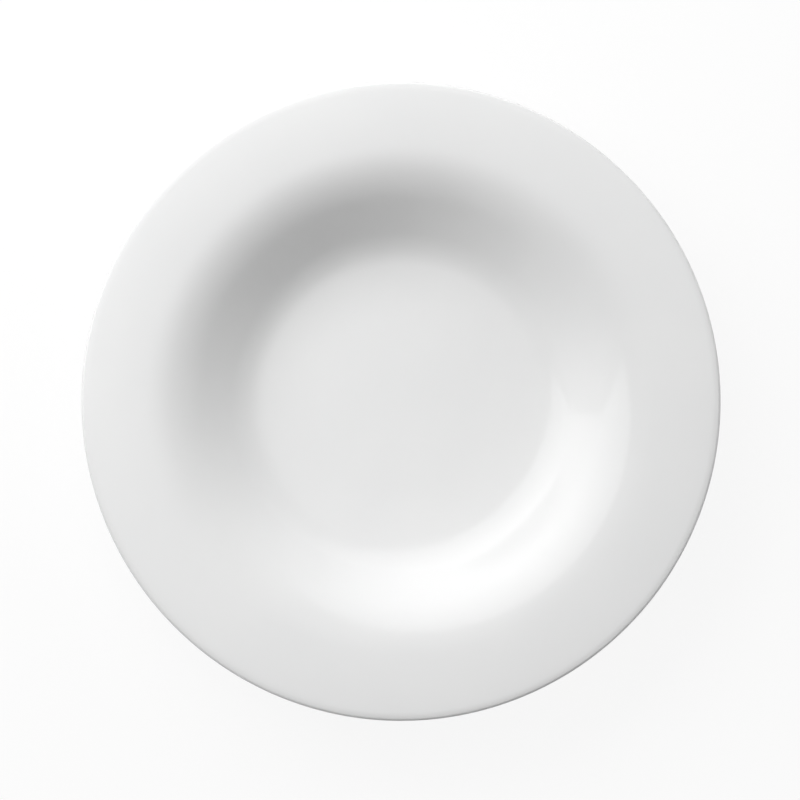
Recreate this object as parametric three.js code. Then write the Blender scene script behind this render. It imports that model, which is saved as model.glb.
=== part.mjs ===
// A glazed porcelain pasta plate: a wide rim round a deep well, on a foot ring.
// Millimetres and degrees, +Z up. The origin is the middle of the foot ring, on the table.
import * as THREE from 'three';

// Finished size, over the glaze
const PLATE_DIAMETER = 300;
const PLATE_HEIGHT = 44;

// Face of the clay, from the lip inwards: the angles are slopes from level
const RIM_WIDTH = 30.5;
const CROWN_RADIUS = 13;
const CROWN_ANGLE = 10.5;
const LIP_RADIUS = 1.2;
const LIP_ANGLE = 2;
const RIM_ANGLE = 7;
const SHOULDER_RADIUS = 43.5;
const WALL_ANGLE = 43;
const COVE_RADIUS = 28.5;
const DISH_ANGLE = 7.5;
const DISH_WIDTH = 22.5;

// Thickness of the clay
const WALL_THICKNESS = 4.6;
const FLOOR_THICKNESS = 4.6;

// Foot ring: it stands under the cove, its outer edge FOOT_REACH outside the cove's start
const FOOT_REACH = 5;
const FOOT_WIDTH = 5;
const FOOT_DRAFT = 12;
const FOOT_EDGE_RADIUS = 0.6;
const FOOT_FILLET = 3;
const RECESS_HEIGHT = 3.4;
const RECESS_FILLET = 1.2;

// Glaze: two coats that stop at a line above the table and leave the foot bare
const GLAZE_THICKNESS = 0.3;
const GLAZE_LINE = 1.2;
const BOND_GAP = 0.02;

// Facets: sides round the plate, and how far a chord may stand off its arc
const SIDES = 60;
const CHORD_ERROR = 0.11;

const CLAY_COLOUR = '#eeebe4';
const CLAY_ROUGHNESS = 0.8;
const GLAZE_COLOUR = '#f4f5f4';
const GLAZE_ROUGHNESS = 0.1;

// Headings of an outline that starts outwards and turns down round the lip, back in and up the recess
const LEVEL = 0;
const DOWN = -90;
const INWARDS = -180;
const UP = -270;

const sin = (angle) => Math.sin(THREE.MathUtils.degToRad(angle));
const cos = (angle) => Math.cos(THREE.MathUtils.degToRad(angle));
const tan = (angle) => Math.tan(THREE.MathUtils.degToRad(angle));

// An outline in the half plane (r, z), drawn by straight runs and tangent arcs.
// The solid lies on its right, so an offset to the left stands proud of the surface.
class Outline {
  constructor(r, z, heading) {
    this.points = [{ r, z, heading }];
  }

  get end() {
    return this.points.at(-1);
  }

  straight(length) {
    const { r, z, heading } = this.end;
    this.points.push({ r: r + length * cos(heading), z: z + length * sin(heading), heading });
  }

  bend(radius, heading) {
    const start = this.end;
    const turn = heading - start.heading;
    const side = Math.sign(turn) * radius;
    const centre = { r: start.r - side * sin(start.heading), z: start.z + side * cos(start.heading) };
    const widest = 2 * THREE.MathUtils.radToDeg(Math.acos(1 - Math.min(1, CHORD_ERROR / radius)));
    const steps = Math.ceil(Math.abs(turn) / widest);
    for (let i = 1; i <= steps; i++) {
      const here = start.heading + (turn * i) / steps;
      this.points.push({ r: centre.r + side * sin(here), z: centre.z - side * cos(here), heading: here });
    }
  }
}

// Runs and rises of the face, worked inwards from the lip and upwards from the floor
function layOutFace() {
  const coat = BOND_GAP + GLAZE_THICKNESS;
  const rimStart = PLATE_DIAMETER / 2 - RIM_WIDTH;
  const lipRun = CROWN_RADIUS * (sin(LIP_ANGLE) + sin(CROWN_ANGLE)) + LIP_RADIUS * (1 - sin(CROWN_ANGLE));
  const rimRun = RIM_WIDTH - coat - lipRun;
  const rimRadius = rimRun / (sin(RIM_ANGLE) - sin(LIP_ANGLE));
  const floorHeight = RECESS_HEIGHT + FLOOR_THICKNESS;
  const wallRise =
    PLATE_HEIGHT - coat - floorHeight
    - CROWN_RADIUS * (1 - cos(LIP_ANGLE))
    - rimRun * tan((RIM_ANGLE + LIP_ANGLE) / 2)
    - SHOULDER_RADIUS * (cos(RIM_ANGLE) - cos(WALL_ANGLE))
    - COVE_RADIUS * (cos(DISH_ANGLE) - cos(WALL_ANGLE))
    - DISH_WIDTH * tan(DISH_ANGLE / 2);
  const wallLength = wallRise / sin(WALL_ANGLE);
  const shoulderRun = SHOULDER_RADIUS * (sin(WALL_ANGLE) - sin(RIM_ANGLE));
  const coveRun = COVE_RADIUS * (sin(WALL_ANGLE) - sin(DISH_ANGLE));
  const coveStart = rimStart - shoulderRun - wallLength * cos(WALL_ANGLE) - coveRun;
  const dishRadius = DISH_WIDTH / sin(DISH_ANGLE);
  return { rimRadius, wallLength, coveStart, dishRadius, floorRadius: coveStart - DISH_WIDTH, floorHeight };
}

// Centre of the arc that an outline is about to bend round, towards its left or right
function centreBeside({ r, z, heading }, radius, toLeft) {
  const side = toLeft ? radius : -radius;
  return { r: r - side * sin(heading), z: z + side * cos(heading) };
}

// Slope of the rim's straight underside: tangent to the lip below and to the shoulder's back above
function undersideAngle(shoulderCentre, lipCentre) {
  const run = lipCentre.r - shoulderCentre.r;
  const rise = lipCentre.z - shoulderCentre.z;
  const reach = SHOULDER_RADIUS - WALL_THICKNESS + LIP_RADIUS;
  return THREE.MathUtils.radToDeg(Math.atan2(rise, run) - Math.asin(reach / Math.hypot(run, rise)));
}

// Fillet between the back of the cove and the foot's outer flank: it touches both.
// Gives the slope where it leaves the cove and the length of flank left below it.
function fitFootFillet(coveCentre, footRadius) {
  const reach = COVE_RADIUS + WALL_THICKNESS + FOOT_FILLET;
  const beside = {
    r: footRadius + FOOT_FILLET * cos(FOOT_DRAFT) - coveCentre.r,
    z: -FOOT_FILLET * sin(FOOT_DRAFT) - coveCentre.z,
  };
  const along = beside.r * sin(FOOT_DRAFT) + beside.z * cos(FOOT_DRAFT);
  const flank = -along - Math.sqrt(along ** 2 - beside.r ** 2 - beside.z ** 2 + reach ** 2);
  const run = beside.r + flank * sin(FOOT_DRAFT);
  const drop = -beside.z - flank * cos(FOOT_DRAFT);
  return { slope: THREE.MathUtils.radToDeg(Math.atan2(run, drop)), flank };
}

// The face from the axis out to the lip, then the back of the rim and wall down to the cove
function drawBowl() {
  const face = layOutFace();
  const outline = new Outline(0, face.floorHeight, LEVEL);
  outline.straight(face.floorRadius);
  outline.bend(face.dishRadius, DISH_ANGLE);
  const coveCentre = centreBeside(outline.end, COVE_RADIUS, true);
  outline.bend(COVE_RADIUS, WALL_ANGLE);
  outline.straight(face.wallLength);
  const shoulderCentre = centreBeside(outline.end, SHOULDER_RADIUS, false);
  outline.bend(SHOULDER_RADIUS, RIM_ANGLE);
  outline.bend(face.rimRadius, LIP_ANGLE);
  outline.bend(CROWN_RADIUS, LEVEL);
  outline.bend(CROWN_RADIUS, -CROWN_ANGLE);
  const lipCentre = centreBeside(outline.end, LIP_RADIUS, false);
  const underside = undersideAngle(shoulderCentre, lipCentre);
  outline.bend(LIP_RADIUS, DOWN);
  outline.bend(LIP_RADIUS, INWARDS + underside);
  const span = Math.hypot(lipCentre.r - shoulderCentre.r, lipCentre.z - shoulderCentre.z);
  outline.straight(Math.sqrt(span ** 2 - (SHOULDER_RADIUS - WALL_THICKNESS + LIP_RADIUS) ** 2));
  outline.bend(SHOULDER_RADIUS - WALL_THICKNESS, INWARDS + WALL_ANGLE);
  outline.straight(face.wallLength);
  const foot = fitFootFillet(coveCentre, face.coveStart + FOOT_REACH);
  outline.bend(COVE_RADIUS + WALL_THICKNESS, INWARDS + foot.slope);
  outline.bend(FOOT_FILLET, DOWN - FOOT_DRAFT);
  return { outline, flank: foot.flank };
}

// The whole clay outline, with the places where the two coats of glaze stop
function drawClay() {
  const { outline, flank } = drawBowl();
  const lineLength = GLAZE_LINE / cos(FOOT_DRAFT);
  const corner = (90 - FOOT_DRAFT) / 2;
  const edgeLength = FOOT_EDGE_RADIUS * tan(corner);
  outline.straight(flank - lineLength);
  const outerStop = outline.points.length;
  outline.straight(lineLength - edgeLength);
  outline.bend(FOOT_EDGE_RADIUS, INWARDS);
  outline.straight(FOOT_WIDTH - 2 * edgeLength);
  outline.bend(FOOT_EDGE_RADIUS, UP + FOOT_DRAFT);
  outline.straight(lineLength - edgeLength);
  const recessStart = outline.points.length - 1;
  outline.straight(RECESS_HEIGHT / cos(FOOT_DRAFT) - lineLength - RECESS_FILLET * tan(corner));
  outline.bend(RECESS_FILLET, INWARDS);
  outline.straight(outline.end.r);
  return { points: outline.points, outerStop, recessStart };
}

// A stretch of the outline moved off the clay by a distance
function standProud(points, distance) {
  return points.map(({ r, z, heading }) => ({
    r: r - distance * sin(heading),
    z: z + distance * cos(heading),
  }));
}

// Glaze over the face, round the lip and down the back: out along its surface and in along its bond
function outerCoat(points) {
  return [...standProud(points, BOND_GAP + GLAZE_THICKNESS), ...standProud(points, BOND_GAP).reverse()];
}

// Glaze inside the foot ring: out along its bond and in along its surface
function recessCoat(points) {
  return [...standProud(points, BOND_GAP).reverse(), ...standProud(points, BOND_GAP + GLAZE_THICKNESS)];
}

// Turns a section that starts and ends on the axis into a named solid
function revolve(name, section, material) {
  const profile = section.map(({ r, z }) => new THREE.Vector2(Math.max(0, r), z));
  const geometry = new THREE.LatheGeometry(profile.reverse(), SIDES);
  geometry.rotateX(Math.PI / 2);
  const mesh = new THREE.Mesh(geometry, material);
  mesh.name = name;
  return mesh;
}

function clayMaterial() {
  return new THREE.MeshStandardMaterial({ color: CLAY_COLOUR, roughness: CLAY_ROUGHNESS, metalness: 0 });
}

function glazeMaterial() {
  return new THREE.MeshStandardMaterial({ color: GLAZE_COLOUR, roughness: GLAZE_ROUGHNESS, metalness: 0 });
}

const clay = drawClay();
const plate = new THREE.Group();
plate.add(revolve('plate_body', clay.points, clayMaterial()));
plate.add(revolve('outer_glaze', outerCoat(clay.points.slice(0, clay.outerStop)), glazeMaterial()));
plate.add(revolve('recess_glaze', recessCoat(clay.points.slice(clay.recessStart)), glazeMaterial()));

export default plate;
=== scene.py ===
import math

import bpy
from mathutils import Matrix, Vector


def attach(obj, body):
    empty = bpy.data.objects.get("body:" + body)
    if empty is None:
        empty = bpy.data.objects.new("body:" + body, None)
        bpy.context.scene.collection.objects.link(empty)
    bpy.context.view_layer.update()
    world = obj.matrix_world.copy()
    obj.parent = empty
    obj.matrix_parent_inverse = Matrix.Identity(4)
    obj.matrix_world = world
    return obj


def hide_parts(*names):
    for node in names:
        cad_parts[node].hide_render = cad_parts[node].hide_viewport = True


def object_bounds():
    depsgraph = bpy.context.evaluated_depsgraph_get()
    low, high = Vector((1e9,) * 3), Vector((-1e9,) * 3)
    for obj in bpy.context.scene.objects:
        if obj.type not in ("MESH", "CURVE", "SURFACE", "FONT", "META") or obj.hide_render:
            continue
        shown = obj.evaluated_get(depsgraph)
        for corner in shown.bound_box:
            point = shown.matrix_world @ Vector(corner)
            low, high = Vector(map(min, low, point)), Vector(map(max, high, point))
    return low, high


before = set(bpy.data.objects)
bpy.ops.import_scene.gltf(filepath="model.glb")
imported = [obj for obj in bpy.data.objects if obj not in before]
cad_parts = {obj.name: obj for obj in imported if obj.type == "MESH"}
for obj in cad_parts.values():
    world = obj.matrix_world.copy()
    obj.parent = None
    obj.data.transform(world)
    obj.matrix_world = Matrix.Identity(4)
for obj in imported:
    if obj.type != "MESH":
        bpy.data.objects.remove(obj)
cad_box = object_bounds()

# A white porcelain pasta plate on a white floor, seen from straight above. Metres, +Z up.

# Frame of the photograph, and where the plate lies in it
PHOTO_SIZE_PX = 800
PLATE_WIDTH_PX = 640.0
PLATE_CENTRE_PX = (401.0, 401.3)

# Camera: its height over the top of the plate
CAMERA_HEIGHT = 1.6
SENSOR_WIDTH_MM = 36.0

# Fineness of the turned surfaces: sides round the axis, and the widest turn and longest run of one step
SIDES = 240
WIDEST_TURN = math.radians(3.0)
LONGEST_RUN = 0.004

# Reading of the solids' sections: how near counts as the same, and the turn at which a coat of glaze ends
SNAP = 1e-6
SNAP_DIGITS = 7
SHARP_CORNER = math.radians(60.0)

# Hand-wiped edge of the glaze on the foot: each wave has a count round the foot, a size and a phase.
# The bands are how far up each coat the edge's waver is felt.
BEAD_STEPS = 6
WIPE_WAVES = ((5, 0.00007, 0.4), (11, 0.00005, 2.1), (23, 0.00003, 4.0))
OUTER_WIPE_BAND = 0.003
RECESS_WIPE_BAND = 0.001

# Glaze: two whites in faint clouds, uneven gloss and a slight ripple
GLAZE_IOR = 1.54
CLOUD_NOISE = {"Scale": 18.0, "Detail": 2.0}
CLOUD_STOPS = ((0.3, (0.79, 0.793, 0.793, 1)), (0.7, (0.81, 0.812, 0.81, 1)))
GLAZE_ROUGHNESS = {"To_Min": 0.03, "To_Max": 0.06}
RIPPLE_NOISE = {"Scale": 30.0, "Detail": 1.0}
RIPPLE_BUMP = {"Strength": 1.0, "Distance": 0.00004}

# Bare clay: two warm whites in a fine, matte grain
CLAY_IOR = 1.5
GRAIN_NOISE = {"Scale": 2500.0, "Detail": 4.0}
GRAIN_STOPS = ((0.25, (0.72, 0.70, 0.66, 1)), (0.6, (0.80, 0.785, 0.75, 1)))
CLAY_ROUGHNESS = {"To_Min": 0.6, "To_Max": 0.8}
GRAIN_BUMP = {"Strength": 0.4, "Distance": 0.00005}

# Studio: the floor shows as white by the share FLOOR_GLOW, and the rest of it takes light and shadow
FLOOR_HALF_SIZE = 4.0
FLOOR_GLOW = 0.88
PAPER = (0.95, 0.95, 0.95, 1)
WHITE = (1, 1, 1, 1)
WHITE_STRENGTH = 1.0
AMBIENT_STRENGTH = 0.02

# Softboxes, with angles in degrees: each stands ahead of the plate's middle, towards its azimuth.
# One that is not mirrored lights the plate and is left out of the reflections.
SOFTBOXES = (
    {
        "name": "key_panel", "azimuth": 133.0, "ahead": 0.773, "aside": -0.640, "height": 0.610,
        "tilt": 27.0, "width": 3.12, "length": 1.0, "spread": 136.0, "watts": 7.7, "mirrored": True,
    },
    {
        "name": "key_middle", "azimuth": 128.0, "ahead": 0.540, "aside": 0.0, "height": 0.541,
        "tilt": 44.0, "width": 0.7, "length": 0.5, "spread": 180.0, "watts": 2.75, "mirrored": False,
    },
    {
        "name": "top_panel", "azimuth": 122.0, "ahead": 0.0, "aside": 0.0, "height": 1.52,
        "tilt": 90.0, "width": 2.6, "length": 2.6, "spread": 82.0, "watts": 4.05, "mirrored": True,
    },
    {
        "name": "right_fill", "azimuth": 35.0, "ahead": 1.141, "aside": 0.0, "height": 0.391,
        "tilt": 18.0, "width": 1.2, "length": 1.2, "spread": 53.0, "watts": 1.31, "mirrored": False,
    },
    {
        "name": "left_fill", "azimuth": 205.0, "ahead": 1.018, "aside": 0.0, "height": 0.656,
        "tilt": 32.0, "width": 1.2, "length": 1.2, "spread": 53.0, "watts": 0.45, "mirrored": False,
    },
)


def link(thing):
    bpy.context.scene.collection.objects.link(thing)
    return thing


def add_camera(lowest, highest):
    """Looks straight down; the plate's widest circle fills its share of the photograph."""
    scale = (highest.x - lowest.x) / PLATE_WIDTH_PX
    middle = PHOTO_SIZE_PX / 2
    data = bpy.data.cameras.new("camera")
    data.sensor_width = SENSOR_WIDTH_MM
    data.lens = SENSOR_WIDTH_MM * CAMERA_HEIGHT / (scale * PHOTO_SIZE_PX)
    camera = link(bpy.data.objects.new("camera", data))
    across = (middle - PLATE_CENTRE_PX[0]) * scale
    down = (middle - PLATE_CENTRE_PX[1]) * scale
    camera.location = (across, -down, highest.z + CAMERA_HEIGHT)
    bpy.context.scene.camera = camera


def section_of(node, from_top):
    """Outline (r, z) of a turned CAD solid, walked from one end on the axis to the other."""
    beside = {}
    for edge in node.data.edges:
        ends = [node.data.vertices[i].co for i in edge.vertices]
        if any(abs(co.y) > SNAP or co.x < -SNAP for co in ends):
            continue
        first, second = [(round(co.x, SNAP_DIGITS), round(co.z, SNAP_DIGITS)) for co in ends]
        if first != second:
            beside.setdefault(first, []).append(second)
            beside.setdefault(second, []).append(first)
    on_axis = [point for point in beside if abs(point[0]) < SNAP]
    first_end = max if from_top else min
    walk = [first_end(on_axis, key=lambda point: point[1])]
    seen = set(walk)
    while True:
        onward = [point for point in beside[walk[-1]] if point not in seen]
        if not onward:
            return walk
        walk.append(onward[0])
        seen.add(onward[0])


def heading(start, end):
    return math.atan2(end[1] - start[1], end[0] - start[0])


def turn_at(before, corner, after):
    """How far an outline turns left at a corner."""
    turn = heading(corner, after) - heading(before, corner)
    return (turn + math.pi) % (2 * math.pi) - math.pi


def split_at_edge(points):
    """The surface and the bond of a coat of glaze, both walked out from the axis to the glaze line."""
    for i in range(1, len(points) - 1):
        if abs(turn_at(*points[i - 1:i + 2])) > SHARP_CORNER:
            return points[:i + 1], points[:i:-1]
    raise ValueError("the coat of glaze has no edge")


def arc_points(start, end, half_turn):
    """Points after start on the arc from start to end that turns by twice half_turn."""
    length = math.dist(start, end)
    steps = max(math.ceil(abs(2 * half_turn) / WIDEST_TURN), math.ceil(length / LONGEST_RUN))
    direction = heading(start, end)
    points = []
    for i in range(1, steps):
        share = i / steps
        reach = length * share
        if abs(half_turn) > SNAP:
            reach = length * math.sin(half_turn * share) / math.sin(half_turn)
        angle = direction - half_turn * (1 - share)
        points.append((start[0] + reach * math.cos(angle), start[1] + reach * math.sin(angle)))
    return points + [end]


def round_off(points):
    """Gives each chord of an outline back its arc. The first run is straight and all runs are tangent."""
    rounded = [points[0]]
    half_turn = 0.0
    for i in range(1, len(points)):
        if i > 1:
            half_turn = turn_at(*points[i - 2:i + 1]) - half_turn
        rounded += arc_points(points[i - 1], points[i], half_turn)
    return rounded


def beaded_edge(surface, bond, ahead):
    """A coat's outline with its square edge rounded into a bead, as melted glaze ends."""
    thickness = math.dist(surface[-1], bond[-1])
    radius = thickness / 2
    across = [(surface[-1][k] - bond[-1][k]) / thickness for k in (0, 1)]
    middle = [(surface[-1][k] + bond[-1][k]) / 2 - radius * ahead[k] for k in (0, 1)]
    bead = []
    for i in range(BEAD_STEPS + 1):
        angle = math.pi * i / BEAD_STEPS
        arm = [math.cos(angle) * across[k] + math.sin(angle) * ahead[k] for k in (0, 1)]
        bead.append((middle[0] + radius * arm[0], middle[1] + radius * arm[1]))
    return surface[:-1] + bead + bond[-2::-1]


def wipe_waver(azimuth):
    return sum(size * math.sin(count * azimuth + phase) for count, size, phase in WIPE_WAVES)


def wipe_moves(outline, edge, ahead, band):
    """How each point of a coat moves with its wiped edge: fully there, and not at all a band away."""
    moves = []
    for point in outline:
        share = max(0.0, 1 - math.dist(point, edge) / band) ** 2
        moves.append((share * ahead[0], share * ahead[1]))
    return moves


def turned_faces(rings):
    """Faces of a turned solid, whose first and last vertices lie on the axis."""
    last = 1 + SIDES * rings
    faces = []
    for j in range(SIDES):
        here = 1 + j * rings
        there = 1 + (j + 1) % SIDES * rings
        faces.append((0, here, there))
        faces += [(here + i, here + i + 1, there + i + 1, there + i) for i in range(rings - 1)]
        faces.append((here + rings - 1, last, there + rings - 1))
    return faces


def turn_solid(name, outline, moves):
    """Turns an outline that starts and ends on the axis. Its points move with the wiped edge's waver."""
    vertices = [(0.0, 0.0, outline[0][1])]
    for j in range(SIDES):
        azimuth = 2 * math.pi * j / SIDES
        waver = wipe_waver(azimuth)
        for point, move in zip(outline[1:-1], moves[1:-1]):
            r = point[0] + waver * move[0]
            z = point[1] + waver * move[1]
            vertices.append((r * math.cos(azimuth), r * math.sin(azimuth), z))
    vertices.append((0.0, 0.0, outline[-1][1]))
    mesh = bpy.data.meshes.new(name)
    mesh.from_pydata(vertices, [], turned_faces(len(outline) - 2))
    mesh.shade_smooth()
    return link(bpy.data.objects.new(name, mesh))


def make_body(name, node):
    """The clay, which has no wiped edge."""
    outline = round_off(section_of(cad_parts[node], True))
    return turn_solid(name, outline, [(0.0, 0.0)] * len(outline))


def make_coat(name, node, from_top, band):
    """A coat of glaze with a beaded and wiped edge."""
    section = section_of(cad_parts[node], from_top)
    surface, bond = [round_off(run) for run in split_at_edge(section)]
    along = heading(surface[-2], surface[-1])
    ahead = (math.cos(along), math.sin(along))
    outline = beaded_edge(surface, bond, ahead)
    moves = wipe_moves(outline, surface[-1], ahead, band)
    if not from_top:
        outline.reverse()
        moves.reverse()
    return turn_solid(name, outline, moves)


def node_tree(owner):
    owner.use_nodes = True
    owner.node_tree.nodes.clear()
    return owner.node_tree


def add_node(tree, kind, **inputs):
    node = tree.nodes.new(kind)
    for name, value in inputs.items():
        node.inputs[name.replace("_", " ")].default_value = value
    return node


def add_noise(tree, settings):
    """Noise that is fixed to the piece."""
    place = tree.nodes.new("ShaderNodeTexCoord")
    noise = add_node(tree, "ShaderNodeTexNoise", **settings)
    tree.links.new(place.outputs["Object"], noise.inputs["Vector"])
    return noise.outputs["Fac"]


def add_shader(material, ior):
    """The principled shader of an emptied material, and its tree."""
    tree = node_tree(material)
    shader = add_node(tree, "ShaderNodeBsdfPrincipled", IOR=ior)
    output = tree.nodes.new("ShaderNodeOutputMaterial")
    tree.links.new(shader.outputs["BSDF"], output.inputs["Surface"])
    return tree, shader


def vary_colour(tree, shader, noise, stops):
    ramp = tree.nodes.new("ShaderNodeValToRGB")
    for element, (position, colour) in zip(ramp.color_ramp.elements, stops):
        element.position = position
        element.color = colour
    tree.links.new(noise, ramp.inputs["Fac"])
    tree.links.new(ramp.outputs["Color"], shader.inputs["Base Color"])


def vary_roughness(tree, shader, noise, limits):
    spread = add_node(tree, "ShaderNodeMapRange", **limits)
    tree.links.new(noise, spread.inputs["Value"])
    tree.links.new(spread.outputs["Result"], shader.inputs["Roughness"])


def vary_height(tree, shader, noise, settings):
    bump = add_node(tree, "ShaderNodeBump", **settings)
    tree.links.new(noise, bump.inputs["Height"])
    tree.links.new(bump.outputs["Normal"], shader.inputs["Normal"])


def glaze_material():
    """Clear gloss over white porcelain: faintly clouded white, a slight ripple and uneven gloss."""
    material = bpy.data.materials.new("porcelain_glaze")
    tree, shader = add_shader(material, GLAZE_IOR)
    clouds = add_noise(tree, CLOUD_NOISE)
    vary_colour(tree, shader, clouds, CLOUD_STOPS)
    vary_roughness(tree, shader, clouds, GLAZE_ROUGHNESS)
    vary_height(tree, shader, add_noise(tree, RIPPLE_NOISE), RIPPLE_BUMP)
    return material


def clay_material():
    """Fired porcelain rubbed smooth but unglazed: matte, a little warm, with a fine grain."""
    material = bpy.data.materials.new("bare_porcelain")
    tree, shader = add_shader(material, CLAY_IOR)
    grain = add_noise(tree, GRAIN_NOISE)
    vary_colour(tree, shader, grain, GRAIN_STOPS)
    vary_roughness(tree, shader, grain, CLAY_ROUGHNESS)
    vary_height(tree, shader, grain, GRAIN_BUMP)
    return material


def larger_of(tree, first, second):
    larger = tree.nodes.new("ShaderNodeMath")
    larger.operation = "MAXIMUM"
    tree.links.new(first, larger.inputs[0])
    tree.links.new(second, larger.inputs[1])
    return larger.outputs["Value"]


def sees_background(tree):
    """1 for rays that show the background: those of the camera, of reflections and through glass."""
    rays = tree.nodes.new("ShaderNodeLightPath")
    seen = larger_of(tree, rays.outputs["Is Camera Ray"], rays.outputs["Is Glossy Ray"])
    return larger_of(tree, seen, rays.outputs["Is Transmission Ray"])


def mix_shaders(tree, share, lit, white):
    """The lit look, with a share of plain white over it."""
    mix = tree.nodes.new("ShaderNodeMixShader")
    tree.links.new(share, mix.inputs["Fac"])
    tree.links.new(lit, mix.inputs[1])
    tree.links.new(white, mix.inputs[2])
    return mix.outputs["Shader"]


def add_world():
    """White where it is seen, and a faint light from all round."""
    world = bpy.data.worlds.new("studio")
    bpy.context.scene.world = world
    tree = node_tree(world)
    ambient = add_node(tree, "ShaderNodeBackground", Color=WHITE, Strength=AMBIENT_STRENGTH)
    white = add_node(tree, "ShaderNodeBackground", Color=WHITE, Strength=WHITE_STRENGTH)
    output = tree.nodes.new("ShaderNodeOutputWorld")
    look = mix_shaders(
        tree, sees_background(tree), ambient.outputs["Background"], white.outputs["Background"],
    )
    tree.links.new(look, output.inputs["Surface"])


def floor_material():
    """White paper that shows mostly as white, and keeps a share of the light that falls on it."""
    material = bpy.data.materials.new("white_floor")
    tree = node_tree(material)
    paper = add_node(tree, "ShaderNodeBsdfDiffuse", Color=PAPER)
    glow = add_node(tree, "ShaderNodeEmission", Color=WHITE, Strength=WHITE_STRENGTH)
    share = tree.nodes.new("ShaderNodeMath")
    share.operation = "MULTIPLY"
    share.inputs[1].default_value = FLOOR_GLOW
    tree.links.new(sees_background(tree), share.inputs[0])
    output = tree.nodes.new("ShaderNodeOutputMaterial")
    look = mix_shaders(tree, share.outputs["Value"], paper.outputs["BSDF"], glow.outputs["Emission"])
    tree.links.new(look, output.inputs["Surface"])
    return material


def add_floor():
    half = FLOOR_HALF_SIZE
    corners = [(-half, -half, 0), (half, -half, 0), (half, half, 0), (-half, half, 0)]
    mesh = bpy.data.meshes.new("floor")
    mesh.from_pydata(corners, [], [(0, 1, 2, 3)])
    mesh.materials.append(floor_material())
    floor = link(bpy.data.objects.new("floor", mesh))


def add_softbox(name, azimuth, ahead, aside, height, tilt, width, length, spread, watts, mirrored):
    """A rectangular light ahead of the plate in a compass direction, facing back and tilted down."""
    turn = math.radians(azimuth)
    lean = math.radians(tilt)
    forward = Vector((math.cos(turn), math.sin(turn), 0.0))
    leftward = Vector((-math.sin(turn), math.cos(turn), 0.0))
    upward = Vector((0.0, 0.0, 1.0))
    data = bpy.data.lights.new(name, "AREA")
    data.shape = "RECTANGLE"
    data.size = width
    data.size_y = length
    data.spread = math.radians(spread)
    data.energy = watts
    light = link(bpy.data.objects.new(name, data))
    light.location = ahead * forward + aside * leftward + height * upward
    away = math.cos(lean) * forward + math.sin(lean) * upward
    light.rotation_euler = away.to_track_quat("Z", "Y").to_euler()
    light.visible_camera = False
    light.visible_glossy = mirrored


def dress(piece, node, material):
    piece.data.materials.append(material)
    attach(piece, "root")
    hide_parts(node)


add_camera(*cad_box)
glaze = glaze_material()
dress(make_body("clay_body", "plate_body"), "plate_body", clay_material())
dress(make_coat("outer_coat", "outer_glaze", True, OUTER_WIPE_BAND), "outer_glaze", glaze)
dress(make_coat("recess_coat", "recess_glaze", False, RECESS_WIPE_BAND), "recess_glaze", glaze)
add_floor()
add_world()
for softbox in SOFTBOXES:
    add_softbox(**softbox)
bpy.context.scene.view_settings.view_transform = "Standard"
